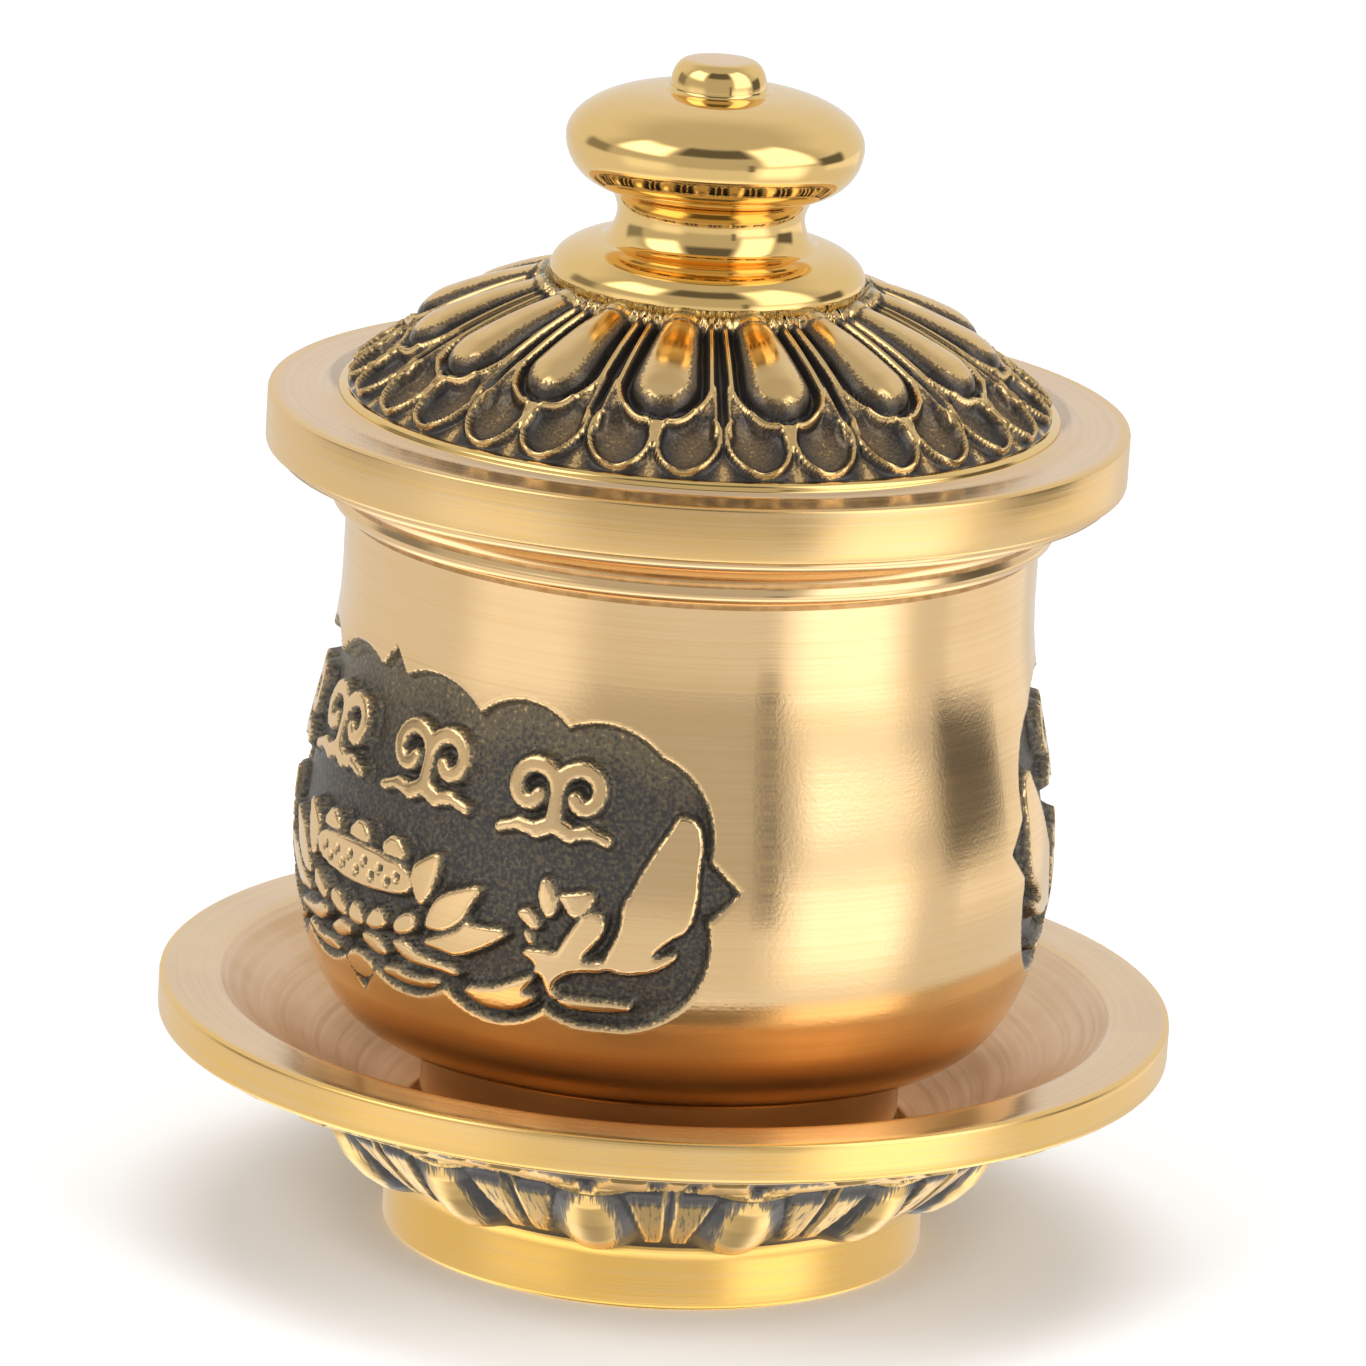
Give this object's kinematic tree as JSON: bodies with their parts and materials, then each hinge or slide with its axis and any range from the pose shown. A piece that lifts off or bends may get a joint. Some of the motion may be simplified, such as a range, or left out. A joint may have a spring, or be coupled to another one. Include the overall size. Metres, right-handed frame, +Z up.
{
  "type": "lidded offering cup",
  "caption": "Lidded brass water offering cup standing in a lotus-petal saucer, with a gadrooned lid, a turned knob and cusped panels of raised lotus relief.",
  "frame": {"origin": "centre of the saucer's foot ring, on the face that stands on the table", "axes": "+Z up along the turning axis, -Y towards the viewer of the picture, +X to the viewer's right"},
  "size_m": [0.075, 0.075, 0.0885],
  "materials": {
    "saucer_brass": "turned and brushed, dark patina between the lotus petals",
    "cup_brass": "polished body, dark patinated panel ground, polished relief",
    "lid_brass": "satin flange, dark patina between polished petals",
    "knob_brass": "mirror polished",
    "screw_steel": "plain steel"
  },
  "bodies": {
    "saucer": {"saucer": "saucer_brass"},
    "cup": {"cup": "cup_brass"},
    "lid": {"lid": "lid_brass", "knob": "knob_brass", "knob_screw": "screw_steel", "knob_washer": "screw_steel"}
  },
  "joints": [
    {"name": "cup_lift", "type": "slide", "parent": "saucer", "child": "cup", "axis": [0, 0, 1], "range_m": [0, 0.05]},
    {"name": "lid_lift", "type": "slide", "parent": "cup", "child": "lid", "axis": [0, 0, 1], "range_m": [0, 0.06]}
  ]
}
